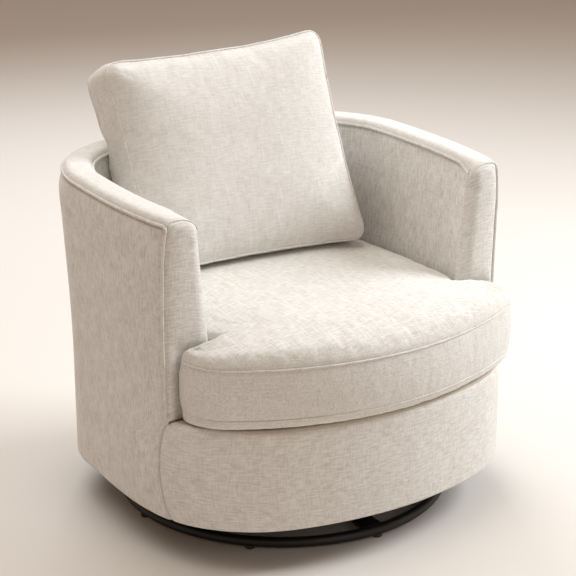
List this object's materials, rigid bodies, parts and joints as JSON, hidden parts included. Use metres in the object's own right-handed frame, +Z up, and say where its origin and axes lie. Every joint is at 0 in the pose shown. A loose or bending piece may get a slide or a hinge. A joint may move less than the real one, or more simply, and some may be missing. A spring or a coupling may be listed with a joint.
{
  "type": "swivel barrel chair",
  "caption": "Round upholstered tub chair on a turning steel ring base, with a loose T-shaped seat cushion and a loose boxed back cushion.",
  "frame": {"origin": "middle of the part's bounding box at floor level, under the tub", "axes": "+Z up, -Y the way the sitter faces, +X to the sitter's left, that is to the right of somebody who stands before the chair"},
  "size_m": [0.772, 0.7259, 0.8279],
  "materials": {
    "upholstery": "brushed chenille weave, matt with a soft sheen",
    "padding": "foam and fibre wadding",
    "deck_fabric": "plain woven deck cloth",
    "dust_fabric": "black non-woven dust cloth",
    "webbing": "woven elastic webbing",
    "plywood": "birch plywood, unfinished",
    "hardwood": "sawn hardwood, unfinished",
    "liner_board": "fibreboard liner",
    "black_steel": "satin black powder coat",
    "zinc_steel": "zinc-plated steel",
    "ball_steel": "polished bearing steel",
    "nylon": "moulded nylon",
    "zip_nylon": "coil zip in a fabric tone"
  },
  "bodies": {
    "base": {"base_ring": "black_steel", "floor_glides": "nylon", "base_arms": "black_steel", "hub_plate": "black_steel", "lower_swivel_plate": "zinc_steel", "pivot_bolt": "zinc_steel", "pivot_nut": "zinc_steel", "hub_bolts": "zinc_steel", "hub_nuts": "zinc_steel"},
    "ball_ring": {"bearing_balls": "ball_steel", "ball_cage": "nylon"},
    "barrel": {"arm_board_left": "plywood", "arm_board_right": "plywood", "arm_facing_left": "upholstery", "arm_facing_right": "upholstery", "arm_posts": "hardwood", "back_posts": "hardwood", "bottom_frame": "plywood", "cross_rails": "hardwood", "deck_cloth": "deck_fabric", "deck_pad": "padding", "dust_cover": "dust_fabric", "front_cover": "upholstery", "front_liner_board": "liner_board", "front_wadding": "padding", "inside_cover": "upholstery", "inside_padding": "padding", "outer_cover": "upholstery", "outer_liner_board": "liner_board", "outer_wadding": "padding", "plate_bolts": "zinc_steel", "seat_frame": "plywood", "seat_posts": "hardwood", "swivel_board": "plywood", "top_band": "upholstery", "top_rail": "plywood", "upper_swivel_plate": "zinc_steel", "webbing_crosswise": "webbing", "webbing_lengthwise": "webbing"},
    "seat_cushion": {"seat_cushion_cover": "upholstery", "seat_cushion_filling": "padding", "seat_cushion_zip": "zip_nylon"},
    "back_cushion": {"back_cushion_cover": "upholstery", "back_cushion_filling": "padding", "back_cushion_zip": "zip_nylon"}
  },
  "joints": [
    {"name": "swivel", "type": "hinge", "parent": "base", "child": "barrel", "pos_m": [0, 0.028, 0.0688], "axis": [0, 0, 1], "continuous": true},
    {"name": "ball_roll", "type": "hinge", "parent": "base", "child": "ball_ring", "pos_m": [0, 0.028, 0.0688], "axis": [0, 0, 1], "continuous": true},
    {"name": "seat_cushion_lift", "type": "slide", "parent": "barrel", "child": "seat_cushion", "axis": [0, 0, 1], "range_m": [0, 0.39]},
    {"name": "back_cushion_lift", "type": "slide", "parent": "seat_cushion", "child": "back_cushion", "axis": [0, 0, 1], "range_m": [0, 0.25]}
  ],
  "couplings": [
    {"joint": "ball_roll", "follows": "swivel", "ratio": 0.5}
  ]
}
